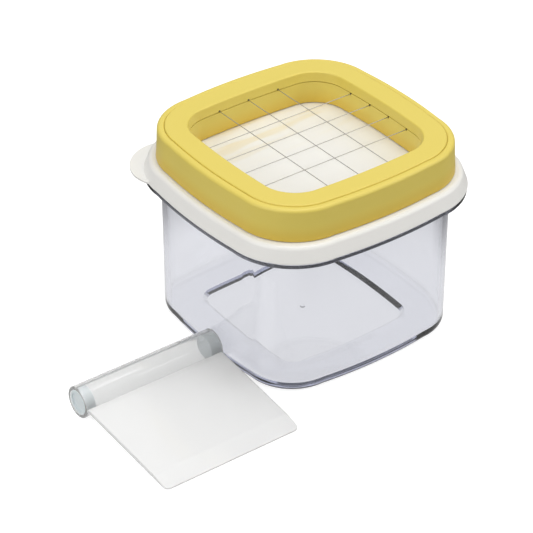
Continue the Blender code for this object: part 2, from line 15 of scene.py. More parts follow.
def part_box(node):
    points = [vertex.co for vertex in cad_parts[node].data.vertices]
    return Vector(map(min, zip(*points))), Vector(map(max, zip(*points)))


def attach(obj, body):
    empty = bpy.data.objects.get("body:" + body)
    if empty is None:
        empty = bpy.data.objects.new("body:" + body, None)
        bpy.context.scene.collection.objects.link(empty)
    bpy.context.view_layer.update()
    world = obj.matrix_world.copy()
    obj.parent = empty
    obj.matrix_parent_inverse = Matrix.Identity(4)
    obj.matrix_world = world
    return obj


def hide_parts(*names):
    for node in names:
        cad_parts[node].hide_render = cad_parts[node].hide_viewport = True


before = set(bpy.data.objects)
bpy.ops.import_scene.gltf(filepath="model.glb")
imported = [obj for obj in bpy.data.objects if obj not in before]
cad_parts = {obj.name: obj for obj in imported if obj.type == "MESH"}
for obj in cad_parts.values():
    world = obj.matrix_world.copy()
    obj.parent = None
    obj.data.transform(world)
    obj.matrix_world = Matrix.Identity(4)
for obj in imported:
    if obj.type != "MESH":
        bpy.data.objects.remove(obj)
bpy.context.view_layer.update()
scene = bpy.context.scene

# %% [markdown]
# ## Sizes
# The sizes are in metres and say what the real mouldings measure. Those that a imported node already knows
# are read from its box, so a piece can't drift away from the solid that it stands for.

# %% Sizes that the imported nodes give
container_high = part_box("container")[1]
lid_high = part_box("lid")[1]
frame_low, frame_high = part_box("frame_body")
cover_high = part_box("frame_cover")[1]
handle_low, handle_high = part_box("scraper_handle")

FLANGE_HALF = container_high.x
CONTAINER_HEIGHT = container_high.z
LID_HALF = lid_high.x
FRAME_HALF = frame_high.x
FRAME_SEAT = frame_low.z
FRAME_TOP = cover_high.z
# Roundings of moulded edges, from the finest up
HAIR = 0.0001
FINE_EDGE = 0.0002
EDGE = 0.0003
SOFT_EDGE = 0.0004
print(f"lid {LID_HALF * 2000:.1f} mm wide, box {FRAME_TOP * 1000:.1f} mm tall")

# %% [markdown]
# ## The outline that every moulding shares
# Container, lid and frame are all squares with big round corners and sides that bulge a little. One
# function gives that outline for any width, and a second one skins a row of such outlines. That is how the
# pieces were drawn: a section through the wall, carried round the outline.

# %% Outline and skin
CORNER_STEPS = 16
SIDE_STEPS = 12
ARC_STEPS = 5
SUPPORT = 0.00008


def outline(half, corner, bow):
    """Points of a square with round corners and bulging sides, anticlockwise from above."""
    centre = half - bow - corner
    quarter = []
    for step in range(CORNER_STEPS + 1):
        angle = pi / 2 * step / CORNER_STEPS
        quarter.append((centre + corner * cos(angle), centre + corner * sin(angle)))
    for step in range(1, SIDE_STEPS):
        share = 1 - 2 * step / SIDE_STEPS
        quarter.append((centre * share, half - bow * share**2))
    turns = [(1, 0, 0, 1), (0, -1, 1, 0), (-1, 0, 0, -1), (0, 1, -1, 0)]
    return [(a * x + b * y, c * x + d * y) for a, b, c, d in turns for x, y in quarter]


def eased(points, closed):
    """A wall section with each corner rounded: points are (distance out, height, radius of the corner)."""
    made = []
    count = len(points)
    for here in range(count):
        out, height, radius = points[here]
        corner = Vector((out, height))
        ends = not closed and here in (0, count - 1)
        if ends or radius <= 0:
            made.append(corner)
            continue
        before = Vector(points[here - 1][:2]) - corner
        after = Vector(points[(here + 1) % count][:2]) - corner
        half_angle = before.angle(after) / 2
        reach = min(radius / tan(half_angle), before.length * 0.46, after.length * 0.46)
        radius = reach * tan(half_angle)
        before.normalize()
        after.normalize()
        start, finish = corner + before * reach, corner + after * reach
        middle = corner + (before + after).normalized() * (radius / sin(half_angle))
        made.append(start + before * min(SUPPORT, reach * 0.2))
        sweep = (start - middle).angle_signed(finish - middle)
        for step in range(ARC_STEPS + 1):
            made.append(middle + Matrix.Rotation(-sweep * step / ARC_STEPS, 2) @ (start - middle))
        made.append(finish + after * min(SUPPORT, reach * 0.2))
    return made


def skin(name, rings, closed, capped):
    """A mesh through rings of points. closed joins the last ring to the first; capped fills the two ends."""
    bm = bmesh.new()
    loops = [[bm.verts.new(point) for point in ring] for ring in rings]
    pairs = list(zip(loops, loops[1:]))
    if closed:
        pairs.append((loops[-1], loops[0]))
    for loop, follower in pairs:
        for here in range(len(loop)):
            after = (here + 1) % len(loop)
            bm.faces.new((loop[here], loop[after], follower[after], follower[here]))
    if capped:
        bm.faces.new(loops[0])
        bm.faces.new(loops[-1])
    bmesh.ops.remove_doubles(bm, verts=bm.verts, dist=0.000002)
    bmesh.ops.recalc_face_normals(bm, faces=bm.faces)
    mesh = bpy.data.meshes.new(name)
    bm.to_mesh(mesh)
    bm.free()
    return mesh


def add_piece(name, mesh, material, body, slot, *nodes, sharp=32):
    """A finished piece: smooth up to sharp edges, riding on a body and standing for its nodes."""
    mesh.name = name
    mesh.materials.clear()
    mesh.materials.append(material)
    mesh.shade_smooth()
    mesh.set_sharp_from_angle(angle=radians(sharp))
    piece = bpy.data.objects.new(name, mesh)
    scene.collection.objects.link(piece)
    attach(piece, body)
    if nodes:
        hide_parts(*nodes)
    print(f"{name}: {len(mesh.polygons)} faces")
    return piece


# %% [markdown]
# ## Finishes
# All the pieces are moulded or drawn, so their finishes share a few effects: a faint moulded grain, soft
# smudges, and fine lines along a drawn wire. Each effect is a shader group, built once and placed in a
# material with its own values. The groups give only roughness, colour factors and heights, which the export
# can bake.

# %% Shader groups


def new_group(name, sockets):
    """An empty shader group with these (name, kind, in or out, default) sockets."""
    group = bpy.data.node_groups.new(name, "ShaderNodeTree")
    for label, kind, way, default in sockets:
        socket = group.interface.new_socket(name=label, in_out=way, socket_type=kind)
        if default is not None:
            socket.default_value = default
    enter = group.nodes.new("NodeGroupInput")
    leave = group.nodes.new("NodeGroupOutput")
    return group, enter, leave


def add_node(tree, kind, **settings):
    """A node with plain properties and, by socket name, input values."""
    node = tree.nodes.new(kind)
    for key, value in settings.items():
        if key in node.bl_rna.properties:
            setattr(node, key, value)
        else:
            node.inputs[key.replace("_", " ")].default_value = value
    return node


def build_moulded_grain():
    """Fine grain and broad soft smudges: gives a roughness, a height for bump and a 0 to 1 mask."""
    group, enter, leave = new_group("moulded_grain", [
        ("Vector", "NodeSocketVector", "INPUT", None),
        ("Grain Scale", "NodeSocketFloat", "INPUT", 900.0),
        ("Smudge Scale", "NodeSocketFloat", "INPUT", 28.0),
        ("Roughness", "NodeSocketFloat", "INPUT", 0.3),
        ("Roughness Spread", "NodeSocketFloat", "INPUT", 0.08),
        ("Roughness", "NodeSocketFloat", "OUTPUT", None),
        ("Height", "NodeSocketFloat", "OUTPUT", None),
        ("Mask", "NodeSocketFloat", "OUTPUT", None),
    ])
    grain = add_node(group, "ShaderNodeTexNoise", Detail=3.0, Roughness=0.6)
    smudge = add_node(group, "ShaderNodeTexNoise", Detail=4.0, Roughness=0.55)
    spread = add_node(group, "ShaderNodeMath", operation="MULTIPLY_ADD")
    centred = add_node(group, "ShaderNodeMath", operation="SUBTRACT")
    centred.inputs[1].default_value = 0.5
    link = group.links.new
    link(enter.outputs["Vector"], grain.inputs["Vector"])
    link(enter.outputs["Vector"], smudge.inputs["Vector"])
    link(enter.outputs["Grain Scale"], grain.inputs["Scale"])
    link(enter.outputs["Smudge Scale"], smudge.inputs["Scale"])
    link(smudge.outputs["Fac"], centred.inputs[0])
    link(centred.outputs[0], spread.inputs[0])
    link(enter.outputs["Roughness Spread"], spread.inputs[1])
    link(enter.outputs["Roughness"], spread.inputs[2])
    link(spread.outputs[0], leave.inputs["Roughness"])
    link(grain.outputs["Fac"], leave.inputs["Height"])
    link(smudge.outputs["Fac"], leave.inputs["Mask"])
    return group


moulded_grain = build_moulded_grain()


def build_drawn_lines():
    """Fine lines along a wire or a pressed sheet, from noise stretched along one direction."""
    group, enter, leave = new_group("drawn_lines", [
        ("Vector", "NodeSocketVector", "INPUT", None),
        ("Stretch", "NodeSocketVector", "INPUT", (60.0, 60.0, 4000.0)),
        ("Roughness", "NodeSocketFloat", "INPUT", 0.3),
        ("Roughness Spread", "NodeSocketFloat", "INPUT", 0.2),
        ("Roughness", "NodeSocketFloat", "OUTPUT", None),
        ("Height", "NodeSocketFloat", "OUTPUT", None),
    ])
    stretch = add_node(group, "ShaderNodeVectorMath", operation="MULTIPLY")
    lines = add_node(group, "ShaderNodeTexNoise", Scale=1.0, Detail=3.0, Roughness=0.7)
    centred = add_node(group, "ShaderNodeMath", operation="SUBTRACT")
    centred.inputs[1].default_value = 0.5
    spread = add_node(group, "ShaderNodeMath", operation="MULTIPLY_ADD")
    link = group.links.new
    link(enter.outputs["Vector"], stretch.inputs[0])
    link(enter.outputs["Stretch"], stretch.inputs[1])
    link(stretch.outputs[0], lines.inputs["Vector"])
    link(lines.outputs["Fac"], centred.inputs[0])
    link(centred.outputs[0], spread.inputs[0])
    link(enter.outputs["Roughness Spread"], spread.inputs[1])
    link(enter.outputs["Roughness"], spread.inputs[2])
    link(spread.outputs[0], leave.inputs["Roughness"])
    link(lines.outputs["Fac"], leave.inputs["Height"])
    return group


drawn_lines = build_drawn_lines()


def build_tint():
    """Two shades of one colour, mixed by a mask, so that a moulding isn't one flat value."""
    group, enter, leave = new_group("tint", [
        ("Mask", "NodeSocketFloat", "INPUT", 0.5),
        ("Light", "NodeSocketColor", "INPUT", (1.0, 1.0, 1.0, 1.0)),
        ("Deep", "NodeSocketColor", "INPUT", (0.9, 0.9, 0.9, 1.0)),
        ("Color", "NodeSocketColor", "OUTPUT", None),
    ])
    mix = add_node(group, "ShaderNodeMix", data_type="RGBA")
    link = group.links.new
    link(enter.outputs["Mask"], mix.inputs["Factor"])
    link(enter.outputs["Light"], mix.inputs[6])
    link(enter.outputs["Deep"], mix.inputs[7])
    link(mix.outputs[2], leave.inputs["Color"])
    return group


tint = build_tint()
print("shader groups:", ", ".join(group.name for group in bpy.data.node_groups))

# %% [markdown]
# ## Materials
# Each moulding has two close shades of its colour, and the smudges choose between them. A painted shade
# deepens the yellow towards the skirt's foot, for the light that comes back from the white lid through the
# yellow. The lid's top carries painted tan streaks on its far side, a painted reflection of the yellow wall.
# The clear resin keeps a plain full transmission, and a weak violet absorption gives its thick places their
# colour.

# %% Materials from the groups


def place_group(tree, group, **values):
    """A shader group placed in a material, with its own values."""
    node = tree.nodes.new("ShaderNodeGroup")
    node.node_tree = group
    for key, value in values.items():
        node.inputs[key.replace("_", " ")].default_value = value
    return node


def moulded(name, light, deep, roughness, spread, grain_scale, bump, shader_values):
    """A moulded plastic: a tinted colour, roughness with smudges, and a fine bump."""
    material = bpy.data.materials.new(name)
    material.use_nodes = True
    tree = material.node_tree
    shader = tree.nodes["Principled BSDF"]
    where = tree.nodes.new("ShaderNodeTexCoord")
    grain = place_group(tree, moulded_grain, Grain_Scale=grain_scale, Roughness_Spread=spread)
    grain.inputs["Roughness"].default_value = roughness
    colour = place_group(tree, tint, Light=(*light, 1.0), Deep=(*deep, 1.0))
    height = add_node(tree, "ShaderNodeBump", Strength=bump, Distance=0.0001)
    link = tree.links.new
    link(where.outputs["Object"], grain.inputs["Vector"])
    link(grain.outputs["Mask"], colour.inputs["Mask"])
    link(colour.outputs["Color"], shader.inputs["Base Color"])
    link(grain.outputs["Roughness"], shader.inputs["Roughness"])
    link(grain.outputs["Height"], height.inputs["Height"])
    link(height.outputs["Normal"], shader.inputs["Normal"])
    for key, value in shader_values.items():
        shader.inputs[key].default_value = value
    return material


def colour_over(material, mask, colour):
    """Lays a colour over the material's own, by a mask socket of its tree."""
    tree = material.node_tree
    base = tree.nodes["Principled BSDF"].inputs["Base Color"]
    mix = add_node(tree, "ShaderNodeMix", data_type="RGBA")
    mix.inputs[7].default_value = colour
    tree.links.new(mask, mix.inputs["Factor"])
    tree.links.new(base.links[0].from_socket, mix.inputs[6])
    tree.links.new(mix.outputs[2], base)


butter_yellow = moulded(
    "butter_yellow", light=(0.755, 0.615, 0.125), deep=(0.735, 0.59, 0.11),
    roughness=0.42, spread=0.08, grain_scale=2200.0, bump=0.05, shader_values={"Specular IOR Level": 0.5},
)
# Painted shade and bounce light: a deeper orange laid over the yellow towards the skirt's foot, for the light
# that comes back from the white lid.
PAINTED_FOOT_SHADE = (0.72, 0.50, 0.06, 1.0)
FOOT_HEIGHT = 0.0075
FOOT_STRENGTH = 0.85
tree = butter_yellow.node_tree
apart = tree.nodes.new("ShaderNodeSeparateXYZ")
painted_foot_shade = add_node(
    tree, "ShaderNodeMapRange", interpolation_type="SMOOTHSTEP",
    From_Min=FRAME_SEAT, From_Max=FRAME_SEAT + FOOT_HEIGHT, To_Min=FOOT_STRENGTH, To_Max=0.0,
)
tree.links.new(tree.nodes["Texture Coordinate"].outputs["Object"], apart.inputs[0])
tree.links.new(apart.outputs["Z"], painted_foot_shade.inputs["Value"])
colour_over(butter_yellow, painted_foot_shade.outputs["Result"], PAINTED_FOOT_SHADE)

lid_white = moulded(
    "lid_white", light=(0.86, 0.855, 0.83), deep=(0.84, 0.835, 0.81),
    roughness=0.34, spread=0.10, grain_scale=1800.0, bump=0.05, shader_values={"Specular IOR Level": 0.5},
)
# Painted reflection: a tan colour laid over the lid's top on its far side, for the yellow wall mirrored in the
# white plastic.
PAINTED_REFLECTION_COLOUR = (0.80, 0.71, 0.50, 1.0)
STREAK_START = 0.006
STREAK_FULL = 0.034
STREAK_STRENGTH = 0.75
STREAK_END = 0.039
STREAK_GONE = 0.041
STREAK_STRETCH = (22.0, 170.0, 40.0)


def painted_reflection_group():
    """Painted reflection of the yellow wall: soft streaks along X that grow towards the far side, as a 0 to 1
    mask from the place on the lid.
    """
    group, enter, leave = new_group("painted_yellow_reflection", [
        ("Vector", "NodeSocketVector", "INPUT", None),
        ("Start", "NodeSocketFloat", "INPUT", 0.0),
        ("Full", "NodeSocketFloat", "INPUT", 0.03),
        ("Strength", "NodeSocketFloat", "INPUT", 0.5),
        ("Mask", "NodeSocketFloat", "OUTPUT", None),
    ])
    link = group.links.new
    squeeze = add_node(group, "ShaderNodeVectorMath", operation="MULTIPLY")
    squeeze.inputs[1].default_value = STREAK_STRETCH
    reflection_streaks = add_node(group, "ShaderNodeTexNoise", Scale=1.0, Detail=2.5, Roughness=0.55)
    soft = add_node(group, "ShaderNodeMapRange", interpolation_type="SMOOTHSTEP", From_Min=0.46, From_Max=0.66)
    apart = group.nodes.new("ShaderNodeSeparateXYZ")
    window = add_node(group, "ShaderNodeMapRange", interpolation_type="SMOOTHSTEP")
    sideways = add_node(group, "ShaderNodeMath", operation="ABSOLUTE")
    farther = add_node(group, "ShaderNodeMath", operation="MAXIMUM")
    end = add_node(
        group, "ShaderNodeMapRange", From_Min=STREAK_END, From_Max=STREAK_GONE, To_Min=1.0, To_Max=0.0
    )
    ended = add_node(group, "ShaderNodeMath", operation="MULTIPLY")
    together = add_node(group, "ShaderNodeMath", operation="MULTIPLY")
    scaled = add_node(group, "ShaderNodeMath", operation="MULTIPLY")
    link(enter.outputs["Vector"], squeeze.inputs[0])
    link(squeeze.outputs[0], reflection_streaks.inputs["Vector"])
    link(reflection_streaks.outputs["Fac"], soft.inputs["Value"])
    link(enter.outputs["Vector"], apart.inputs[0])
    link(apart.outputs["Y"], window.inputs["Value"])
    link(enter.outputs["Start"], window.inputs["From Min"])
    link(enter.outputs["Full"], window.inputs["From Max"])
    link(apart.outputs["X"], sideways.inputs[0])
    link(sideways.outputs[0], farther.inputs[0])
    link(apart.outputs["Y"], farther.inputs[1])
    link(farther.outputs[0], end.inputs["Value"])
    link(soft.outputs["Result"], ended.inputs[0])
    link(end.outputs["Result"], ended.inputs[1])
    link(ended.outputs[0], together.inputs[0])
    link(window.outputs["Result"], together.inputs[1])
    link(together.outputs[0], scaled.inputs[0])
    link(enter.outputs["Strength"], scaled.inputs[1])
    link(scaled.outputs[0], leave.inputs["Mask"])
    return group


# The painted reflection of the yellow wall, laid over the lid's white.
tree = lid_white.node_tree
reflection_streaks = place_group(
    tree, painted_reflection_group(), Start=STREAK_START, Full=STREAK_FULL, Strength=STREAK_STRENGTH
)
tree.links.new(tree.nodes["Texture Coordinate"].outputs["Object"], reflection_streaks.inputs["Vector"])
colour_over(lid_white, reflection_streaks.outputs["Mask"], PAINTED_REFLECTION_COLOUR)

clear_resin = moulded(
    "clear_resin", light=(1.0, 1.0, 1.0), deep=(0.995, 0.996, 1.0),
    roughness=0.02, spread=0.02, grain_scale=300.0, bump=0.01,
    shader_values={"Transmission Weight": 1.0, "IOR": 1.5},
)
frosted = moulded(
    "frosted_plastic", light=(0.99, 0.99, 0.99), deep=(0.975, 0.98, 0.98),
    roughness=0.12, spread=0.08, grain_scale=900.0, bump=0.03,
    shader_values={"Transmission Weight": 0.4, "IOR": 1.49},
)
milky = moulded(
    "milky_plastic", light=(1.0, 1.0, 1.0), deep=(0.985, 0.99, 0.99),
    roughness=0.06, spread=0.04, grain_scale=900.0, bump=0.02,
    shader_values={"Transmission Weight": 0.82, "IOR": 1.35},
)
pale_blue = moulded(
    "pale_blue_plastic", light=(0.86, 0.93, 0.96), deep=(0.82, 0.905, 0.94),
    roughness=0.28, spread=0.1, grain_scale=900.0, bump=0.05,
    shader_values={"Transmission Weight": 0.15, "IOR": 1.49},
)

RESIN_ABSORPTION = (0.66, 0.68, 0.79, 1.0)
RESIN_DENSITY = 110.0
absorb = clear_resin.node_tree.nodes.new("ShaderNodeVolumeAbsorption")
absorb.inputs["Color"].default_value = RESIN_ABSORPTION
absorb.inputs["Density"].default_value = RESIN_DENSITY
clear_resin.node_tree.links.new(
    absorb.outputs["Volume"], clear_resin.node_tree.nodes["Material Output"].inputs["Volume"]
)


def drawn(name, colour, roughness, stretch):
    """A drawn metal: fine lines run along it."""
    material = bpy.data.materials.new(name)
    material.use_nodes = True
    tree = material.node_tree
    shader = tree.nodes["Principled BSDF"]
    shader.inputs["Metallic"].default_value = 1.0
    where = tree.nodes.new("ShaderNodeTexCoord")
    lines = place_group(tree, drawn_lines, Stretch=stretch)
    lines.inputs["Roughness"].default_value = roughness
    shade = place_group(tree, tint, Light=(*colour, 1.0), Deep=(*(0.7 * part for part in colour), 1.0))
    height = add_node(tree, "ShaderNodeBump", Strength=0.1, Distance=0.00002)
    link = tree.links.new
    link(where.outputs["Object"], lines.inputs["Vector"])
    link(lines.outputs["Height"], shade.inputs["Mask"])
    link(shade.outputs["Color"], shader.inputs["Base Color"])
    link(lines.outputs["Roughness"], shader.inputs["Roughness"])
    link(lines.outputs["Height"], height.inputs["Height"])
    link(height.outputs["Normal"], shader.inputs["Normal"])
    return material


wire_along_y = drawn("wire_along_y", (0.50, 0.49, 0.47), 0.3, (9000.0, 200.0, 9000.0))
wire_along_x = drawn("wire_along_x", (0.50, 0.49, 0.47), 0.3, (200.0, 9000.0, 9000.0))
# Painted shade: a dark metal for short rods in the wire holes, standing for the shade inside the bores.
painted_bore_shade = drawn("painted_bore_shade", (0.16, 0.12, 0.07), 0.6, (3000.0, 3000.0, 3000.0))
print("materials:", ", ".join(m.name for m in bpy.data.materials if m.users or m.use_nodes))

# %% [markdown]
# ## Clear container
# The container is one clear moulding: a 2 mm wall, a flange that the lid's rim rests on, and a floor whose
# middle lies a little lower than its border. The short slope round that middle panel matters most for the
# look, because light bends through it and draws the dark violet lines in the far corners of the floor. The
# roundings at the foot of the wall get fine steps for the same reason. The wall section is carried round
# the outline.

# %% Container
CONTAINER_HALF = 0.0490
MOUTH_HALF = 0.0492
CONTAINER_CORNER = 0.0210
CONTAINER_BOW = 0.0017
WALL = 0.0020
FLOOR = 0.0020
FLOOR_FILLET = 0.0010
PANEL_DEPTH = 0.0014
PANEL_SLOPE_RUN = 0.0020
PANEL_HALF = 0.03075
PANEL_CORNER = 0.0060
PANEL_BOW = 0.0010
BASE_ROUNDING = 0.0030
BASE_STEPS = 12
FLANGE_TOP = 0.0653
FLANGE_THICKNESS = 0.0017
FLANGE_CORNER = 0.0294
FLANGE_BOW = 0.0015
GATE_RADIUS = 0.0011
GATE_HEIGHT = 0.0003
FLANGE_FILLET = 0.0009
MOUTH_ROUNDING = 0.0006
SLOPE_ROUNDING = 0.0005
SLOPE_LEAD = 0.0020


def wall_half(height):
    """Half the container's width at a height, across the flats."""
    return CONTAINER_HALF + (MOUTH_HALF - CONTAINER_HALF) * height / CONTAINER_HEIGHT


def container_ring(out, height):
    """A ring of the container: out is how far it lies outside the wall's outer face."""
    if out >= 0:
        share = out / (FLANGE_HALF - wall_half(FLANGE_TOP))
        corner = CONTAINER_CORNER + (FLANGE_CORNER - CONTAINER_CORNER) * share
        bow = CONTAINER_BOW + (FLANGE_BOW - CONTAINER_BOW) * share
    else:
        corner = CONTAINER_CORNER + out
        bow = CONTAINER_BOW
    return [(x, y, height) for x, y in outline(wall_half(height) + out, corner, bow)]


flange_out = FLANGE_HALF - wall_half(FLANGE_TOP)
LEDGE = FLOOR + PANEL_DEPTH
base = []
for step in range(BASE_STEPS + 1):
    angle = pi / 2 * step / BASE_STEPS
    base.append((-BASE_ROUNDING * (1 - sin(angle)), BASE_ROUNDING * (1 - cos(angle))))
outer = eased([
    (0, BASE_ROUNDING + HAIR, 0),
    (0, FLANGE_TOP - FLANGE_THICKNESS, FLANGE_FILLET),
    (flange_out, FLANGE_TOP - FLANGE_THICKNESS, SOFT_EDGE),
    (flange_out, FLANGE_TOP, FINE_EDGE),
    (0, FLANGE_TOP, EDGE),
    (0, CONTAINER_HEIGHT, MOUTH_ROUNDING),
    (-WALL, CONTAINER_HEIGHT, MOUTH_ROUNDING),
    (-WALL, LEDGE + FLOOR_FILLET + HAIR, 0),
], closed=False)
inner = []
for step in range(BASE_STEPS + 1):
    angle = pi / 2 * step / BASE_STEPS
    inner.append((-WALL - FLOOR_FILLET * (1 - cos(angle)), LEDGE + FLOOR_FILLET * (1 - sin(angle))))
rings = [container_ring(*point) for point in base + outer + inner]
slope = eased([
    (PANEL_SLOPE_RUN + SLOPE_LEAD, LEDGE, 0),
    (PANEL_SLOPE_RUN, LEDGE, SLOPE_ROUNDING),
    (0, FLOOR, SLOPE_ROUNDING),
    (-SLOPE_LEAD, FLOOR, 0),
], closed=False)
for out, height in slope:
    rings.append([(x, y, height) for x, y in outline(PANEL_HALF + out, PANEL_CORNER + out, PANEL_BOW)])
gate = [
    (GATE_RADIUS + FINE_EDGE, FLOOR),
    (GATE_RADIUS, FLOOR),
    (GATE_RADIUS * 0.9, FLOOR + GATE_HEIGHT * 0.7),
    (GATE_RADIUS * 0.7, FLOOR + GATE_HEIGHT),
    (GATE_RADIUS * 0.3, FLOOR + GATE_HEIGHT),
]
for radius, height in gate:
    rings.append([(x, y, height) for x, y in outline(radius, radius, 0)])
shell = skin("container_shell", rings, False, True)
add_piece("container_shell", shell, clear_resin, "container", "clear_resin", "container")

# %% [markdown]
# ## White lid
# The lid's rim has a soft round top and a side that slopes out to its foot. Its middle is a flat web that
# butter falls onto, and a plug under the web fits the container's mouth. The section runs from the rib on
# top, which follows the inside of the frame's skirt, over the rim and round the plug.

# %% Lid
LID_CORNER = 0.0298
LID_BOW = 0.0015
SIDE_SLOPE = 0.0026
CLEARANCE = 0.0003
LID_SEAT = FLANGE_TOP + CLEARANCE
LID_HEIGHT = 0.0068
LID_TOP = LID_SEAT + LID_HEIGHT
WEB_UNDERSIDE = LID_SEAT + 0.0050
RIM_ROUNDING = 0.0038
SKIRT_WALL = 0.0017
PLUG_FOOT = WEB_UNDERSIDE - 0.0100
PLUG_WALL = 0.0014
RIB_HEIGHT = 0.0015
RIB_WALL = 0.0015
RIB_CORNER = 0.0239
RIB_BOW = 0.0013
FRAME_WALL = 0.0020
SKIRT_SLOPE = 0.7 * SIDE_SLOPE
RIM_START = 0.0010


def lid_ring(out, height):
    """A ring of the lid's rim: out is how far it lies outside the widest outline."""
    return [(x, y, height) for x, y in outline(LID_HALF + out, LID_CORNER + out, LID_BOW)]


def plug_ring(out, height):
    """A ring of the lid's plug: out is how far it lies outside the plug's face."""
    inset = WALL + CLEARANCE - out
    half = wall_half(PLUG_FOOT) - inset
    return [(x, y, height) for x, y in outline(half, CONTAINER_CORNER - inset, CONTAINER_BOW)]


rib_half = FRAME_HALF - FRAME_WALL - CLEARANCE


def rib_ring(half, height):
    """A ring of the locating rib, which follows the inside of the frame's skirt."""
    return [(x, y, height) for x, y in outline(half, RIB_CORNER + half - rib_half, RIB_BOW)]


rib = eased([
    (rib_half - RIB_WALL, LID_TOP, 0),
    (rib_half - RIB_WALL + HAIR, LID_TOP + RIB_HEIGHT, EDGE),
    (rib_half - HAIR, LID_TOP + RIB_HEIGHT, EDGE),
    (rib_half, LID_TOP, 0),
], closed=False)
rim = eased([
    (FRAME_HALF - RIM_START - LID_HALF, LID_TOP, 0),
    (-SIDE_SLOPE, LID_TOP, RIM_ROUNDING),
    (0, LID_SEAT, SOFT_EDGE),
    (-SKIRT_WALL, LID_SEAT, FINE_EDGE),
    (-SKIRT_WALL - SKIRT_SLOPE, WEB_UNDERSIDE, 0),
], closed=False)
plug = eased([
    (0, WEB_UNDERSIDE, 0),
    (0, PLUG_FOOT, SOFT_EDGE),
    (-PLUG_WALL, PLUG_FOOT, EDGE),
    (-PLUG_WALL, WEB_UNDERSIDE, 0),
], closed=False)
rings = [rib_ring(*point) for point in rib]
rings += [lid_ring(*point) for point in rim]
rings += [plug_ring(*point) for point in plug]
add_piece("lid_shell", skin("lid_shell", rings, False, True), lid_white, "lid", "lid_white", "lid")

# %% [markdown]
# ## Thumb tab
# A thin tongue stands out from one corner of the rim. It is half of an oval plate with a rounded edge, so
# the plate is skinned from a few ovals and starts inside the rim.

# %% Tab
TAB_REACH = 0.0056
TAB_HALF_WIDTH = 0.0165
TAB_HALF_LENGTH = 0.0140
TAB_THICKNESS = 0.0009
TAB_LIFT = 0.0002
TAB_STEPS = 40
corner_centre = LID_HALF - LID_BOW - LID_CORNER
corner_tip = corner_centre + LID_CORNER * cos(pi / 4)


def tab_ring(inset, height):
    """The part of the tab's oval that shows, closed by a line inside the rim."""
    along, across = TAB_HALF_LENGTH - inset, TAB_HALF_WIDTH - inset
    centre = corner_tip * 2**0.5 + TAB_REACH - TAB_HALF_LENGTH
    ring = []
    for step in range(TAB_STEPS + 1):
        angle = -pi / 2 + pi * step / TAB_STEPS
        ahead, aside = centre + along * cos(angle), across * sin(angle)
        x, y = (-ahead - aside) / 2**0.5, (ahead - aside) / 2**0.5
        ring.append((x, y, height))
    return ring


tab_section = eased([
    (-FINE_EDGE, 0, 0), (0, 0, SOFT_EDGE), (0, TAB_THICKNESS, SOFT_EDGE), (-FINE_EDGE, TAB_THICKNESS, 0),
], closed=False)
rings = [tab_ring(-out, LID_SEAT + TAB_LIFT + height) for out, height in tab_section]
add_piece("thumb_tab", skin("thumb_tab", rings, False, True), lid_white, "lid", "lid_white", "lid")

# %% [markdown]
# ## Yellow cutter frame
# The frame is two yellow mouldings. The outer one has the skirt and a rounded shoulder, and the inner one
# is the ring with the flat top face, which clamps the wires. The fine groove between them shows in the
# photograph, so they stay two pieces with a real gap.

# %% Frame
FRAME_CORNER = 0.02585
FRAME_BOW = 0.00144
OPENING_HALF = 0.0379
OPENING_CORNER = 0.0145
OPENING_BOW = 0.00076
WIRE_LEVEL = 0.0098
WAIST_INSET = 0.00045
WAIST_HEIGHT = 0.0064
WAIST_ROUNDING = 0.004
SHOULDER_HEIGHT = 0.0138
SHOULDER_ROUNDING = 0.0030
SHOULDER_HALF = FRAME_HALF - 0.00075
SEAM_HALF = SHOULDER_HALF - SHOULDER_ROUNDING
COVER_HALF = SEAM_HALF - 0.00004
COVER_WALL = 0.0017
COVER_PLATE = 0.0018
OPENING_FLARE = 0.0005
OPENING_ROUNDING = 0.0007
DECK_THICKNESS = 0.0024
GROOVE_ROUNDING = 0.0006
FRAME_HEIGHT = FRAME_TOP - FRAME_SEAT
INNER_WALL_HALF = OPENING_HALF + FRAME_WALL
DECK_TOP = WIRE_LEVEL - CLEARANCE / 2
COVER_SEAT = WIRE_LEVEL + CLEARANCE / 2
DECK_UNDERSIDE = DECK_TOP - DECK_THICKNESS
CHANNEL_TOP = FRAME_HEIGHT - COVER_PLATE


def frame_ring(half, height):
    """A ring of the cutter frame: its corner and bulge change evenly from the opening to the skirt."""
    share = (half - OPENING_HALF) / (FRAME_HALF - OPENING_HALF)
    corner = OPENING_CORNER + (FRAME_CORNER - OPENING_CORNER) * share
    bow = OPENING_BOW + (FRAME_BOW - OPENING_BOW) * share
    return [(x, y, FRAME_SEAT + height) for x, y in outline(half, corner, bow)]


body_section = eased([
    (FRAME_HALF, 0, EDGE),
    (FRAME_HALF - WAIST_INSET, WAIST_HEIGHT, WAIST_ROUNDING),
    (SHOULDER_HALF, SHOULDER_HEIGHT, SHOULDER_ROUNDING),
    (SEAM_HALF, SHOULDER_HEIGHT, GROOVE_ROUNDING),
    (SEAM_HALF, DECK_TOP, FINE_EDGE),
    (OPENING_HALF, DECK_TOP, HAIR),
    (OPENING_HALF, 0, EDGE),
    (INNER_WALL_HALF, 0, EDGE),
    (INNER_WALL_HALF, DECK_UNDERSIDE, EDGE),
    (SHOULDER_HALF - FRAME_WALL, DECK_UNDERSIDE, EDGE),
    (FRAME_HALF - FRAME_WALL, 0, EDGE),
], closed=True)
skirt = skin("frame_skirt", [frame_ring(*point) for point in body_section], True, False)
add_piece("frame_skirt", skirt, butter_yellow, "cutter", "butter_yellow", "frame_body")

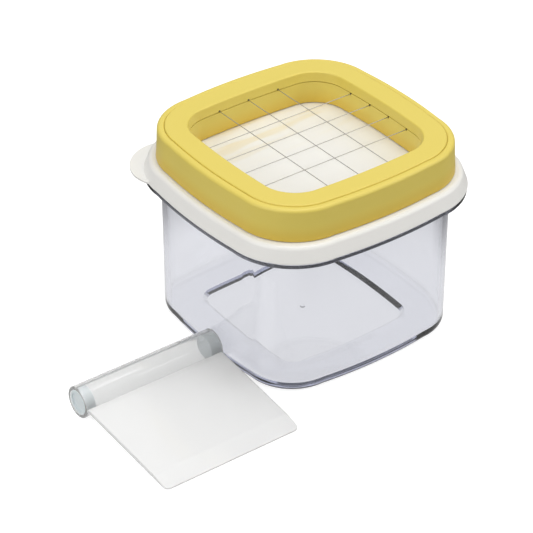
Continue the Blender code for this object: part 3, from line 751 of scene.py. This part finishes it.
cover_section = eased([
    (COVER_HALF, COVER_SEAT, HAIR),
    (COVER_HALF, FRAME_HEIGHT, GROOVE_ROUNDING),
    (OPENING_HALF + OPENING_FLARE, FRAME_HEIGHT, OPENING_ROUNDING),
    (OPENING_HALF, COVER_SEAT, HAIR),
    (INNER_WALL_HALF, COVER_SEAT, HAIR),
    (INNER_WALL_HALF + OPENING_FLARE, CHANNEL_TOP, EDGE),
    (COVER_HALF - COVER_WALL, CHANNEL_TOP, EDGE),
    (COVER_HALF - COVER_WALL, COVER_SEAT, HAIR),
], closed=True)
top_ring = skin("frame_top_ring", [frame_ring(*point) for point in cover_section], True, False)
add_piece("frame_top_ring", top_ring, butter_yellow, "cutter", "butter_yellow", "frame_cover")

# %% [markdown]
# ## Cutting wires
# The wires repeat at an even pitch, so a Geometry Nodes tree makes them: rods in one or two rows. One rod
# for each wire gives a set of wires. Short dark rods in two rows are painted shade inside the bores where the
# wires enter the wall. The tree is built once, and each use has its own count, pitch and sizes.

# %% Tree for rods in rows


def build_rod_rows():
    """Rods that lie along Y, side by side along X, in one row or in two rows that stand apart along Y."""
    tree = bpy.data.node_groups.new("rod_rows", "GeometryNodeTree")
    for label, kind in [
        ("Count", "NodeSocketInt"), ("Pitch", "NodeSocketFloat"), ("Rows", "NodeSocketInt"),
        ("Row Distance", "NodeSocketFloat"), ("Radius", "NodeSocketFloat"), ("Length", "NodeSocketFloat"),
        ("Sides", "NodeSocketInt"), ("Finish", "NodeSocketMaterial"),
    ]:
        tree.interface.new_socket(name=label, in_out="INPUT", socket_type=kind)
    tree.interface.new_socket(name="Geometry", in_out="OUTPUT", socket_type="NodeSocketGeometry")
    enter = tree.nodes.new("NodeGroupInput")
    leave = tree.nodes.new("NodeGroupOutput")
    link = tree.links.new

    def centred_line(count, distance, axis):
        """Points in a line along an axis, with their middle at the origin."""
        gaps = add_node(tree, "ShaderNodeMath", operation="SUBTRACT")
        gaps.inputs[1].default_value = 1.0
        start = add_node(tree, "ShaderNodeMath", operation="MULTIPLY")
        half = add_node(tree, "ShaderNodeMath", operation="MULTIPLY")
        half.inputs[1].default_value = -0.5
        first = tree.nodes.new("ShaderNodeCombineXYZ")
        step = tree.nodes.new("ShaderNodeCombineXYZ")
        line = tree.nodes.new("GeometryNodeMeshLine")
        link(enter.outputs[count], gaps.inputs[0])
        link(gaps.outputs[0], start.inputs[0])
        link(enter.outputs[distance], start.inputs[1])
        link(start.outputs[0], half.inputs[0])
        link(half.outputs[0], first.inputs[axis])
        link(enter.outputs[distance], step.inputs[axis])
        link(enter.outputs[count], line.inputs["Count"])
        link(first.outputs[0], line.inputs["Start Location"])
        link(step.outputs[0], line.inputs["Offset"])
        return line

    across = centred_line("Count", "Pitch", "X")
    rows = centred_line("Rows", "Row Distance", "Y")
    rod = tree.nodes.new("GeometryNodeMeshCylinder")
    link(enter.outputs["Sides"], rod.inputs["Vertices"])
    link(enter.outputs["Radius"], rod.inputs["Radius"])
    link(enter.outputs["Length"], rod.inputs["Depth"])
    laid = tree.nodes.new("GeometryNodeTransform")
    laid.inputs["Rotation"].default_value = (pi / 2, 0, 0)
    link(rod.outputs["Mesh"], laid.inputs["Geometry"])
    row = tree.nodes.new("GeometryNodeInstanceOnPoints")
    link(across.outputs[0], row.inputs["Points"])
    link(laid.outputs[0], row.inputs["Instance"])
    both = tree.nodes.new("GeometryNodeInstanceOnPoints")
    link(rows.outputs[0], both.inputs["Points"])
    link(row.outputs[0], both.inputs["Instance"])
    real = tree.nodes.new("GeometryNodeRealizeInstances")
    link(both.outputs[0], real.inputs[0])
    finish = tree.nodes.new("GeometryNodeSetMaterial")
    link(real.outputs[0], finish.inputs["Geometry"])
    link(enter.outputs["Finish"], finish.inputs["Material"])
    link(finish.outputs[0], leave.inputs["Geometry"])
    return tree


rod_rows = build_rod_rows()
sockets = [item for item in rod_rows.interface.items_tree if item.in_out == "INPUT"]
socket_names = {item.name: item.identifier for item in sockets}


def rods(name, height, along_x, **values):
    """A plain mesh of the tree with these values, at a height and turned to its direction."""
    carrier = bpy.data.objects.new(name, bpy.data.meshes.new(name))
    scene.collection.objects.link(carrier)
    modifier = carrier.modifiers.new("rows", "NODES")
    modifier.node_group = rod_rows
    for key, value in values.items():
        modifier[socket_names[key.replace("_", " ")]] = value
    made = carrier.evaluated_get(bpy.context.evaluated_depsgraph_get())
    mesh = bpy.data.meshes.new_from_object(made)
    bpy.data.objects.remove(carrier)
    if along_x:
        mesh.transform(Matrix.Rotation(pi / 2, 4, "Z"))
    mesh.transform(Matrix.Translation((0, 0, height)))
    return mesh


# %% Wires and the painted shade in their bores
WIRE_RADIUS = 0.00017
DEPTH_WIRE_PITCH = 0.01484
DEPTH_WIRE_COUNT = 3
CROSS_WIRE_PITCH = 0.01195
CROSS_WIRE_COUNT = 4
BORE_RADIUS = 0.00045
BORE_LENGTH = 0.0010
BORE_SHOWS = 0.00008
wire_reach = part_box("depth_wire_1")[1].y
depth_height = sum(corner.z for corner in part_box("depth_wire_1")) / 2
cross_height = sum(corner.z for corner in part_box("cross_wire_1")) / 2
wire_values = {"Rows": 1, "Row_Distance": 0.0, "Radius": WIRE_RADIUS, "Length": 2 * wire_reach, "Sides": 12}
add_piece(
    "depth_wires",
    rods("depth_wires", depth_height, False, Count=DEPTH_WIRE_COUNT, Pitch=DEPTH_WIRE_PITCH, **wire_values),
    wire_along_y, "cutter", "stainless_wire", "depth_wire_1", "depth_wire_2", "depth_wire_3",
)
add_piece(
    "cross_wires",
    rods("cross_wires", cross_height, True, Count=CROSS_WIRE_COUNT, Pitch=CROSS_WIRE_PITCH, **wire_values),
    wire_along_x, "cutter", "stainless_wire", "cross_wire_1", "cross_wire_2", "cross_wire_3", "cross_wire_4",
)
# Painted shade in the bores: short dark rods just inside the wall where each wire enters.
bore_values = {"Rows": 2, "Radius": BORE_RADIUS, "Length": BORE_LENGTH, "Sides": 14}
for name, height, along_x, count, pitch in [
    ("depth_wire_bore_shade", depth_height, False, DEPTH_WIRE_COUNT, DEPTH_WIRE_PITCH),
    ("cross_wire_bore_shade", cross_height, True, CROSS_WIRE_COUNT, CROSS_WIRE_PITCH),
]:
    joined = bmesh.new()
    offset = (count + 1) % 2 * pitch / 2
    while offset <= count * pitch / 2:
        share = offset / (OPENING_HALF - OPENING_BOW - OPENING_CORNER)
        face = OPENING_HALF - OPENING_BOW * share**2
        distance = 2 * (face - BORE_SHOWS) + BORE_LENGTH
        pair = 1 if offset == 0 else 2
        mesh = rods(name, height, along_x, Count=pair, Pitch=2 * offset, Row_Distance=distance, **bore_values)
        joined.from_mesh(mesh)
        bpy.data.meshes.remove(mesh)
        offset += pitch
    mesh = bpy.data.meshes.new(name)
    joined.to_mesh(mesh)
    joined.free()
    add_piece(name, mesh, painted_bore_shade, "cutter", "stainless_wire")

# %% [markdown]
# ## Scraper
# The scraper is a milky tube with a thin plate. A short round plug closes each end of the tube, and both
# plugs show through its wall. The tube and the plugs are turned from sections. The plate is skinned from
# slices along its length, which thin down to the front edge.

# %% Scraper
TUBE_WALL = 0.0014
TUBE_SIDES = 64
PLUG_LENGTH = 0.0050
PLUG_RECESS = 0.0006
PLUG_RIM = 0.0012
PLUG_GAP = 0.0001
PLUG_CENTRE = 0.0004
PLATE_THICKNESS = 0.0018
PLATE_EDGE_THICKNESS = 0.0006
PLATE_REACH = 0.0590
PLATE_ROOT_INSET = 0.0005
PLATE_FLARE = -0.0006
PLATE_BEVEL = 0.0085
PLATE_CORNER = 0.0024
PLATE_SLICES = 8
tube_middle = (handle_low + handle_high) / 2
TUBE_RADIUS = (handle_high.z - handle_low.z) / 2
TUBE_HALF = (handle_high.x - handle_low.x) / 2
scraper_place = Matrix.Translation(tube_middle)


def turned_rings(section, sign):
    """Rings round the tube's line, from a section of (radius, place along the line)."""
    rings = []
    for radius, along in section:
        ring = []
        for step in range(TUBE_SIDES):
            angle = 2 * pi * step / TUBE_SIDES
            ring.append(scraper_place @ Vector((sign * along, radius * cos(angle), radius * sin(angle))))
        rings.append(ring)
    return rings


bore = TUBE_RADIUS - TUBE_WALL
section = eased([
    (TUBE_RADIUS, -TUBE_HALF, SOFT_EDGE),
    (TUBE_RADIUS, TUBE_HALF, SOFT_EDGE),
    (bore, TUBE_HALF, FINE_EDGE),
    (bore, -TUBE_HALF, FINE_EDGE),
], closed=True)
add_piece(
    "scraper_tube", skin("scraper_tube", turned_rings(section, 1), True, False),
    milky, "scraper", "frosted_plastic", "scraper_handle",
)
plug_radius = bore - PLUG_GAP
section = eased([
    (PLUG_CENTRE, TUBE_HALF - PLUG_RECESS, 0),
    (plug_radius - PLUG_RIM, TUBE_HALF - PLUG_RECESS, HAIR),
    (plug_radius - PLUG_RIM, TUBE_HALF, FINE_EDGE),
    (plug_radius, TUBE_HALF, EDGE),
    (plug_radius, TUBE_HALF - PLUG_LENGTH, EDGE),
    (PLUG_CENTRE, TUBE_HALF - PLUG_LENGTH, 0),
], closed=False)
for name, sign, node in [("left_plug", -1, "end_plug_left"), ("right_plug", 1, "end_plug_right")]:
    mesh = skin(name, turned_rings(section, sign), False, True)
    add_piece(name, mesh, pale_blue, "scraper", "pale_blue_plastic", node)

plate_tilt = Matrix.Rotation(asin((TUBE_RADIUS - PLATE_THICKNESS / 2) / PLATE_REACH), 4, "X")


def plate_slice(along, inset):
    """A slice across the plate at a distance from the tube's line, with rounded edges."""
    share = (along - TUBE_RADIUS) / (PLATE_REACH - TUBE_RADIUS)
    half = TUBE_HALF - PLATE_ROOT_INSET + PLATE_FLARE * share - inset
    thinned = max(0, (along - PLATE_REACH + PLATE_BEVEL) / PLATE_BEVEL)
    low = -PLATE_THICKNESS / 2
    high = low + PLATE_THICKNESS - (PLATE_THICKNESS - PLATE_EDGE_THICKNESS) * thinned
    rounding = min(SOFT_EDGE, (high - low) * 0.4)
    corners = [(half, low), (half, high), (-half, high), (-half, low)]
    section = eased([(*corner, rounding) for corner in corners], closed=True)
    return [scraper_place @ plate_tilt @ Vector((x, -along, z)) for x, z in section]


rings = []
flat_end = PLATE_REACH - PLATE_BEVEL
for step in range(PLATE_SLICES + 1):
    rings.append(plate_slice(TUBE_RADIUS + (flat_end - TUBE_RADIUS) * step / PLATE_SLICES, 0))
rings.insert(-1, plate_slice(flat_end - SOFT_EDGE, 0))
rings.append(plate_slice(flat_end + SOFT_EDGE, 0))
for step in range(PLATE_SLICES + 1):
    angle = pi / 2 * step / PLATE_SLICES
    inset = PLATE_CORNER * (1 - cos(angle))
    rings.append(plate_slice(PLATE_REACH - PLATE_CORNER * (1 - sin(angle)), inset))
plate = skin("scraper_plate", rings, False, True)
add_piece("scraper_plate", plate, frosted, "scraper", "frosted_plastic", "scraper_blade")

# %% [markdown]
# ## Camera
# The camera's direction, distance and focal length were fitted to the outlines of the container, the frame
# and the wires in the photograph, so edges can be compared place by place.

# %% Camera

IMAGE_SIDE = 533
FOCAL_PIXELS = 2400.0
CAMERA_AZIMUTH = radians(-36.873)
CAMERA_ELEVATION = radians(33.98)
CAMERA_DISTANCE = 1.032748
camera_right = Vector((cos(CAMERA_AZIMUTH), sin(CAMERA_AZIMUTH), 0))
camera_back = Vector((
    sin(CAMERA_AZIMUTH) * cos(CAMERA_ELEVATION),
    -cos(CAMERA_AZIMUTH) * cos(CAMERA_ELEVATION),
    sin(CAMERA_ELEVATION),
))
camera_up = camera_back.cross(camera_right)
target = camera_right * -0.015389 + camera_up * 0.063202 + Vector((0, 0, -0.054903))

camera_data = bpy.data.cameras.new("camera")
camera_data.sensor_width = 36
camera_data.lens = FOCAL_PIXELS / IMAGE_SIDE * camera_data.sensor_width
camera_data.clip_start = 0.05
camera_data.clip_end = 20
camera = bpy.data.objects.new("camera", camera_data)
scene.collection.objects.link(camera)
turn = Matrix((camera_right, camera_up, camera_back)).transposed()
camera.matrix_world = Matrix.Translation(target + camera_back * CAMERA_DISTANCE) @ turn.to_4x4()
scene.camera = camera
print("camera at", [round(part, 4) for part in camera.matrix_world.translation])

# %% [markdown]
# ## Floor and room
# The photograph has a plain white surface and a white room, with a soft shadow under the scraper. Both the
# floor and the room answer three kinds of ray in their own way. The camera sees white, with the shadow kept
# on the floor. Plain bounces see a dimmer, slightly warm room. Rays that the plastic mirrors or bends see a
# floor that darkens away from the object and a room that is dark low down, which is what draws edges in
# clear plastic.

# %% Mix by kind of ray


def by_ray(tree, bounce, sharp, seen):
    """Mixes three shaders: for plain bounces, for mirrored and bent rays, and for the camera's own rays."""
    path = tree.nodes.new("ShaderNodeLightPath")
    sharp_ray = add_node(tree, "ShaderNodeMath", operation="MAXIMUM")
    tree.links.new(path.outputs["Is Glossy Ray"], sharp_ray.inputs[0])
    tree.links.new(path.outputs["Is Transmission Ray"], sharp_ray.inputs[1])
    mixed = bounce
    for mask, shader in [(sharp_ray.outputs[0], sharp), (path.outputs["Is Camera Ray"], seen)]:
        mix = tree.nodes.new("ShaderNodeMixShader")
        tree.links.new(mask, mix.inputs["Fac"])
        tree.links.new(mixed, mix.inputs[1])
        tree.links.new(shader, mix.inputs[2])
        mixed = mix.outputs[0]
    return mixed


# %% Floor
WHITE = (1.0, 1.0, 1.0, 1.0)
FLOOR_DROP = 0.0003
FLOOR_SIZE = 6
FLOOR_BOUNCE = (0.55, 0.55, 0.55, 1.0)
FLOOR_SEEN = (0.45, 0.45, 0.45, 1.0)
FLOOR_LIFT = 0.80
ROOM_THROUGH_PLASTIC = 0.25
FLOOR_THROUGH_PLASTIC = 0.87
FOOTPRINT_CENTRE = (-0.033, -0.008, 0.0)
FOOTPRINT_HALF = (0.088, 0.063, 0.0)
FADE_START = 0.015
FADE_END = 0.080
bm = bmesh.new()
bmesh.ops.create_grid(bm, x_segments=1, y_segments=1, size=FLOOR_SIZE)
floor_mesh = bpy.data.meshes.new("floor")
bm.to_mesh(floor_mesh)
bm.free()
floor_mesh.transform(Matrix.Translation((0, 0, -FLOOR_DROP)))
floor = bpy.data.objects.new("floor", floor_mesh)
scene.collection.objects.link(floor)

floor_material = bpy.data.materials.new("studio_floor")
floor_material.use_nodes = True
tree = floor_material.node_tree
tree.nodes.clear()
out = tree.nodes.new("ShaderNodeOutputMaterial")
plain = add_node(tree, "ShaderNodeBsdfDiffuse", Color=FLOOR_BOUNCE)
seen = add_node(tree, "ShaderNodeBsdfDiffuse", Color=FLOOR_SEEN)
lift = add_node(tree, "ShaderNodeEmission", Color=WHITE, Strength=FLOOR_LIFT)
both = tree.nodes.new("ShaderNodeAddShader")
mirrored = add_node(tree, "ShaderNodeEmission", Color=WHITE)
link = tree.links.new
link(seen.outputs[0], both.inputs[0])
link(lift.outputs[0], both.inputs[1])
previous = tree.nodes.new("ShaderNodeTexCoord").outputs["Object"]
for operation, value in [
    ("SUBTRACT", FOOTPRINT_CENTRE),
    ("ABSOLUTE", None),
    ("SUBTRACT", FOOTPRINT_HALF),
    ("MAXIMUM", (0.0, 0.0, 0.0)),
    ("MULTIPLY", (1.0, 1.0, 0.0)),
    ("LENGTH", None),
]:
    step = add_node(tree, "ShaderNodeVectorMath", operation=operation)
    if value is not None:
        step.inputs[1].default_value = value
    link(previous, step.inputs[0])
    previous = step.outputs["Value" if operation == "LENGTH" else "Vector"]
fade = add_node(
    tree, "ShaderNodeMapRange", interpolation_type="SMOOTHSTEP", From_Min=FADE_START, From_Max=FADE_END,
    To_Min=FLOOR_THROUGH_PLASTIC, To_Max=ROOM_THROUGH_PLASTIC,
)
link(previous, fade.inputs["Value"])
link(fade.outputs["Result"], mirrored.inputs["Strength"])
link(by_ray(tree, plain.outputs[0], mirrored.outputs[0], both.outputs[0]), out.inputs["Surface"])
floor_mesh.materials.append(floor_material)
print(f"floor {FLOOR_SIZE * 2} m wide, {FLOOR_DROP * 1000:.1f} mm under the container")

# %% Room
DOME_LOW = 0.34
DOME_HIGH = 0.60
DOME_LOW_COLOUR = (1.0, 0.93, 0.85, 1.0)
DOME_HIGH_COLOUR = (0.97, 0.99, 1.0, 1.0)
DARK_BELOW = 0.15
BRIGHT_ABOVE = 0.7
world = bpy.data.worlds.new("studio")
scene.world = world
world.use_nodes = True
tree = world.node_tree
tree.nodes.clear()
out = tree.nodes.new("ShaderNodeOutputWorld")
link = tree.links.new
parts = tree.nodes.new("ShaderNodeSeparateXYZ")
link(tree.nodes.new("ShaderNodeTexCoord").outputs["Generated"], parts.inputs[0])

dome_strength = add_node(
    tree, "ShaderNodeMapRange", From_Min=0.0, From_Max=1.0, To_Min=DOME_LOW, To_Max=DOME_HIGH
)
dome_colour = add_node(tree, "ShaderNodeMix", data_type="RGBA")
dome_colour.inputs[6].default_value = DOME_LOW_COLOUR
dome_colour.inputs[7].default_value = DOME_HIGH_COLOUR
dome = tree.nodes.new("ShaderNodeBackground")
link(parts.outputs["Z"], dome_strength.inputs["Value"])
link(parts.outputs["Z"], dome_colour.inputs["Factor"])
link(dome_colour.outputs[2], dome.inputs["Color"])
link(dome_strength.outputs["Result"], dome.inputs["Strength"])

sharp_strength = add_node(
    tree, "ShaderNodeMapRange", From_Min=DARK_BELOW, From_Max=BRIGHT_ABOVE,
    To_Min=ROOM_THROUGH_PLASTIC, To_Max=1.0,
)
sharp_room = add_node(tree, "ShaderNodeBackground", Color=WHITE)
link(parts.outputs["Z"], sharp_strength.inputs["Value"])
link(sharp_strength.outputs["Result"], sharp_room.inputs["Strength"])
backdrop = add_node(tree, "ShaderNodeBackground", Color=WHITE, Strength=1.0)
link(by_ray(tree, dome.outputs[0], sharp_room.outputs[0], backdrop.outputs[0]), out.inputs["Surface"])

# %% [markdown]
# ## Lamps
# The photograph's light comes from above, with a softer one from each side: the top faces are brightest,
# both walls that show are near each other in tone, and the only shadow is a faint one under the edges.

# %% Lamps


def add_softbox(name, place, aim, width, height, power):
    """A rectangular area light that faces a point."""
    data = bpy.data.lights.new(name, "AREA")
    data.shape = "RECTANGLE"
    data.size = width
    data.size_y = height
    data.energy = power
    lamp = bpy.data.objects.new(name, data)
    scene.collection.objects.link(lamp)
    lamp.location = place
    lamp.rotation_euler = (Vector(aim) - Vector(place)).to_track_quat("-Z", "Y").to_euler()
    return lamp


AIM = (0, 0, 0.04)
for name, place, side, power in [
    ("key", (0.15, -0.1, 1.8), 1.3, 14),
    ("right", (1.1, -0.9, 0.9), 0.8, 6),
    ("left", (-1.3, -0.1, 0.8), 0.8, 6),
]:
    lamp = add_softbox(name, place, AIM, side, side, power)
    print(f"{lamp.name}: {power} W, {side} m square")

scene.view_settings.view_transform = "Standard"
scene.cycles.use_denoising = True

# %% [markdown]
# ## Last steps
# The nodes that no piece stands for are the stops on the wire ends, hidden inside the frame. They get the
# metal of their wires.

for name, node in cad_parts.items():
    if node.hide_render:
        continue
    print("keeps its own solid:", name)
    chosen = wire_along_x if name.startswith("cross") else wire_along_y
    node.data.materials.clear()
    node.data.materials.append(chosen)
